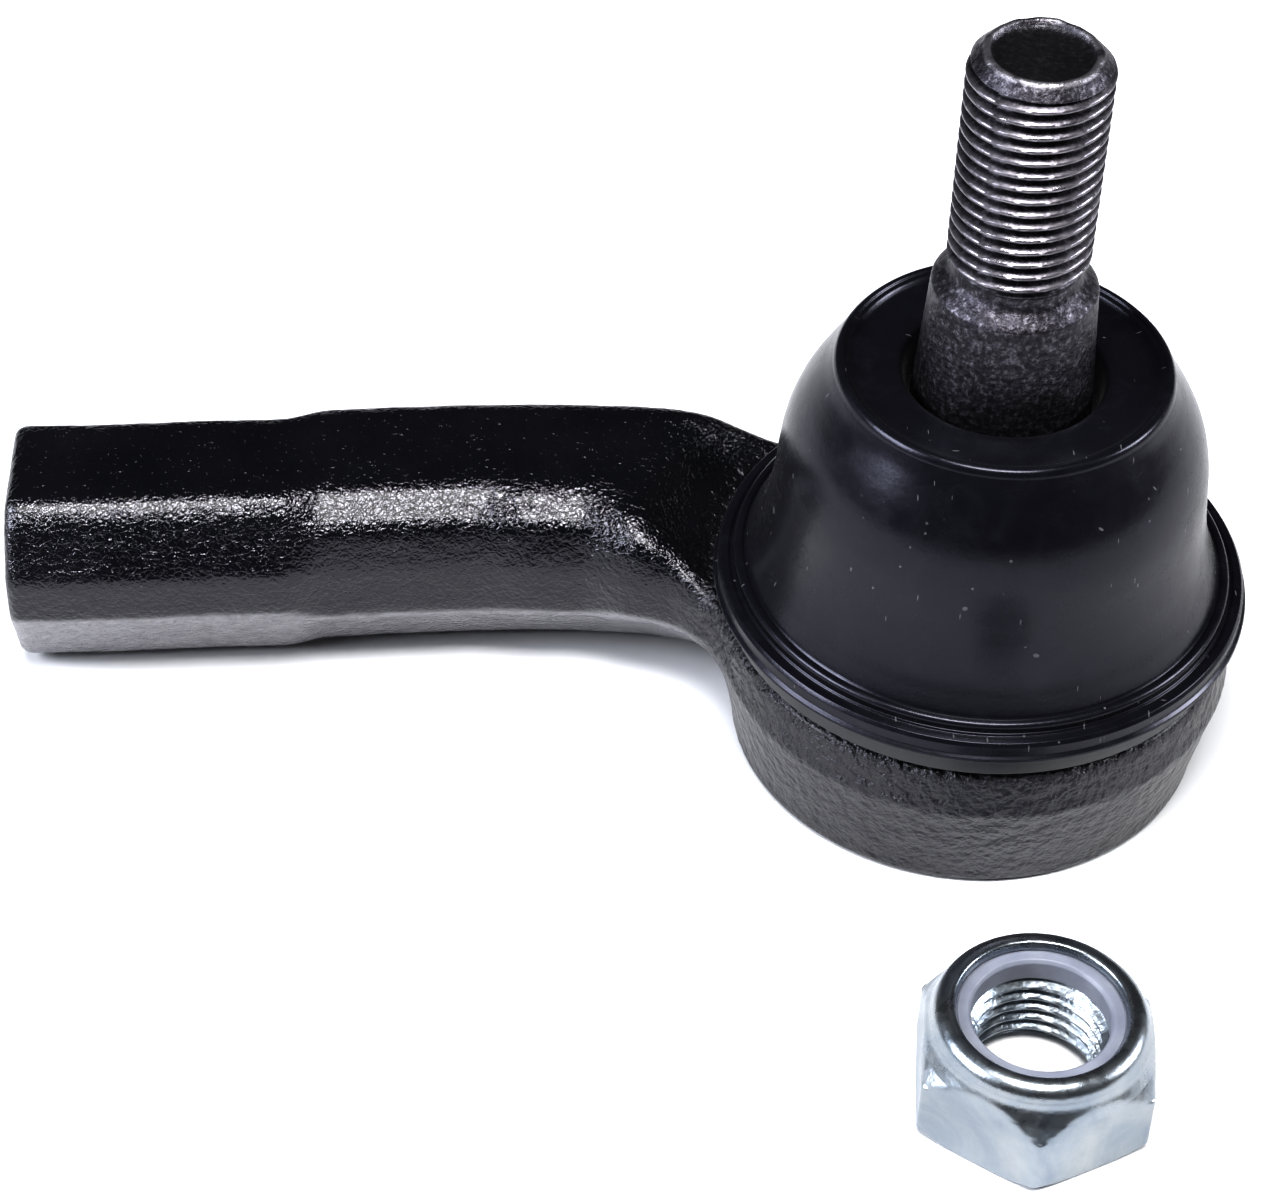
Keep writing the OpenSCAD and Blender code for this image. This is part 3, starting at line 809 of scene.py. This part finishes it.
def neck_clip():
    """A close-wound wire ring round the boot's neck."""
    n, m = ((520, 10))
    turns, R, rc, rw = 58, 9.36, 0.36, 0.15
    t = np.linspace(0, 2 * math.pi, n * 2, endpoint=False)
    a = t * turns
    c = np.stack([(R + rc * np.cos(a)) * np.cos(t), (R + rc * np.cos(a)) * np.sin(t), 36.7 + rc * np.sin(a)], 1)
    tg = np.roll(c, -1, 0) - np.roll(c, 1, 0); tg /= np.linalg.norm(tg, axis=1)[:, None]
    ctr = np.stack([R * np.cos(t), R * np.sin(t), 36.7 + 0 * t], 1)
    u = c - ctr; u -= (u * tg).sum(1)[:, None] * tg; u /= np.linalg.norm(u, axis=1)[:, None]
    v = np.cross(tg, u)
    b = np.linspace(0, 2 * math.pi, m, endpoint=False)
    pts = (c[:, None, :] + rw * (np.cos(b)[None, :, None] * u[:, None, :] + np.sin(b)[None, :, None] * v[:, None, :])).reshape(-1, 3)
    N_ = len(t)
    faces = []
    for i in range(N_):
        for k in range(m):
            faces.append((i * m + k, ((i + 1) % N_) * m + k, ((i + 1) % N_) * m + (k + 1) % m, i * m + (k + 1) % m))
    o = obj_from("neck_wire_ring", pts, faces)
    fix_normals(o)
    return put(o, SPRING, "boot_neck", "boot_neck_clip")


# ------------------------------------------------------------------ lock nut
def nut():
    h = 0.13
    lo = P([-11.6, -11.6, -2.5 * h]); hi = P([11.6, 11.6, 11.2])
    n = np.ceil((hi - lo) / h).astype(int) + 1
    X = (lo[0] + h * np.arange(n[0])).astype(np.float32)[:, None, None]
    Y = (lo[1] + h * np.arange(n[1])).astype(np.float32)[None, :, None]
    Z = (lo[2] + h * np.arange(n[2])).astype(np.float32)[None, None, :]
    r = np.hypot(X, Y)
    hexa = None
    for k in range(6):
        a = math.radians(-95 + 30 + 60 * k)
        d = X * math.cos(a) + Y * math.sin(a) - 9.5
        hexa = d if hexa is None else smax(hexa, d, 0.32)
    body = smax(hexa, (Z - 6.25 + (r - 9.5) * 0.12) * 0.99, 0.12)
    body = smax(body, ((r - 9.7) * 0.577 - Z) * 0.866, 0.22)
    # rolled collar over the insert, and the flared skirt that runs out into the flats
    q = np.hypot(np.maximum(r - 7.55, 0), np.maximum(Z - 8.95, 0)) - 1.45
    collar = smax(q, 5.0 - Z, 0.2)
    flare = np.maximum((r - (9.0 + np.clip(8.7 - Z, 0, 4) * 0.66)) * 0.88, np.maximum(Z - 8.9, 5.4 - Z))
    f = smin(smin(body, smax(hexa, flare, 0.3), 0.12), collar, 0.35)
    f = smax(f, -Z, 0.25)
    # pocket for the insert, and the rolled lip's mouth
    lip = np.hypot(np.minimum(r - 7.55, 0) * 1.0, Z - 9.75)
    pocket = np.maximum(r - 7.45, np.maximum(7.3 - Z, Z - 9.55))
    mouth = np.maximum(r - (6.95 + np.clip(Z - 9.7, 0, 1) * 0.35), 9.0 - Z)
    f = smax(f, -smin(pocket, mouth, 0.2), 0.25)
    V, Fc = surface_nets(f, lo, h)
    o = obj_from("lock_nut_body", V, Fc)
    bm = bmesh.new(); bm.from_mesh(o.data)
    for _ in range(1):
        bmesh.ops.smooth_vert(bm, verts=bm.verts, factor=0.35, use_axis_x=True, use_axis_y=True, use_axis_z=True)
    bm.to_mesh(o.data); bm.free()
    fix_normals(o)
    nth, per = ((128, 14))
    pitch = 1.25
    th = np.linspace(0, 2 * math.pi, nth, endpoint=False)
    rws = [-2.0, (P(6.9), P(-2.0)), (P(6.9), P(-0.3))]
    for z in np.arange(-0.2, 8.0, pitch / per):
        ph = (z / pitch - th / (2 * math.pi)) % 1.0
        tri = np.clip(np.abs(ph - 0.5) * 2 * 1.3 - 0.1, 0, 1)
        rad = 5.35 + 0.68 * (1 - tri)
        rad = np.maximum(rad, 6.5 - z)
        rad = np.maximum(rad, 6.3 - (7.35 - z) if z > 6.4 else 0)
        rad = np.minimum(rad, 6.9)
        rws.append((rad, P(z)))
    rws.append((P(6.2), P(8.1)))
    rws.append(8.1)
    tap = grid_of_rows("c3", rws, nth)
    fix_normals(tap)
    cut(o, tap)
    o.data.transform(Matrix.Translation(Vector((NUT_X * MM, NUT_Y * MM, 0))))
    clean(o, 40)
    return put(o, ZINC, "loose_nut", "lock_nut")


def insert():
    p = fillet([(5.75, 7.45), (6.1, 7.33), (7.38, 7.33), (7.38, 9.5), (6.9, 9.5), (6.86, 9.62), (6.0, 9.62), (5.75, 9.3)],
               [0.15, 0.1, 0.1, 0.05, 0.05, 0.1, 0.25, 0.25], 5)
    o = lathe("nylon_insert", p, 160, centre=(NUT_X, NUT_Y))
    o.data.set_sharp_from_angle(angle=math.radians(50))
    return put(o, NYLON, "loose_nut", "lock_nut_insert")


housing()
stud()
boot()
base_ring()
end_cap()
neck_clip()
nut()
insert()

# carried-over CAD pieces, all inside the joint
for node, mat in {"preload_spring": SPRING, "lower_ball_seat": ACETAL, "upper_ball_seat": ACETAL}.items():
    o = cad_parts[node]
    o.data.materials.clear()
    o.data.materials.append(mat)

# ------------------------------------------------------------------ floor, light, camera
fm, fnt, fb, fco = new_mat("pale_floor")
fn = N(fnt, fco)
fnt.links.new(fn.ramp(fn.noise(12, 3, 0.5), [(0.3, (0.70, 0.70, 0.71)), (0.7, (0.73, 0.73, 0.735))]), fb.inputs["Base Color"])
fb.inputs["Roughness"].default_value = 0.85
fb.inputs["Specular IOR Level"].default_value = 0.1
me = bpy.data.meshes.new("floor")
S = 3.0
me.from_pydata([(-S, -S, 0), (S, -S, 0), (S, S, 0), (-S, S, 0)], [], [(0, 1, 2, 3)])
floor = bpy.data.objects.new("floor", me)
floor.location = (0, 0, -0.00002)
col.objects.link(floor)
me.materials.append(fm)

w = bpy.data.worlds.new("studio")
sc.world = w
w.use_nodes = True
bg = w.node_tree.nodes["Background"]
bg.inputs[0].default_value = (0.93, 0.95, 1.0, 1)
bg.inputs[1].default_value = 0.05


def area(name, loc, target, size, power, color=(1, 1, 1), size_y=None):
    l = bpy.data.lights.new(name, "AREA")
    l.energy = power
    l.color = color
    l.shape = "RECTANGLE"
    l.size = size
    l.size_y = size_y or size
    o = bpy.data.objects.new(name, l)
    o.location = loc
    o.rotation_euler = (Vector(target) - Vector(loc)).to_track_quat("-Z", "Y").to_euler()
    col.objects.link(o)
    return o


T = (-0.02, 0, 0.02)
area("overhead", (-0.03, -0.27, 0.86), T, 0.42, 13.0, (1.0, 0.995, 0.99), 0.24)
area("left_box", (-0.60, -0.14, 0.40), T, 0.34, 8.0, (0.88, 0.92, 1.0))
area("right_box", (0.60, -0.02, 0.34), T, 0.22, 4.2, (0.94, 0.96, 1.0))

cam = bpy.data.cameras.new("camera")
co_ = bpy.data.objects.new("camera", cam)
col.objects.link(co_)
CAM = dict(C=(-42.81, -236.01, 233.84), pitch=43.056, yaw=2.804, roll=2.018, f=3610.0, cx=626.6, cy=609.2)
W_, H_ = 1264, 1200
py, yw, rl = (math.radians(CAM[k]) for k in ("pitch", "yaw", "roll"))
fw = Vector((math.sin(yw) * math.cos(py), math.cos(yw) * math.cos(py), -math.sin(py)))
rt = Vector((math.cos(yw), -math.sin(yw), 0))
up = rt.cross(fw)
c_, s_ = math.cos(rl), math.sin(rl)
rt2, up2 = c_ * rt + s_ * up, -s_ * rt + c_ * up
M = Matrix((rt2, up2, -fw)).transposed().to_4x4()
M.translation = Vector(CAM["C"]) * MM
co_.matrix_world = M
cam.sensor_width = 36.0
cam.sensor_fit = "HORIZONTAL"
cam.lens = CAM["f"] / W_ * 36.0
cam.shift_x = (W_ / 2 - CAM["cx"]) / W_
cam.shift_y = (CAM["cy"] - H_ / 2) / W_
cam.clip_start = 0.01
cam.clip_end = 20
sc.camera = co_
sc.view_settings.view_transform = "Standard"
sc.view_settings.look = "None"
sc.view_settings.exposure = 0.0
sc.view_settings.gamma = 0.78
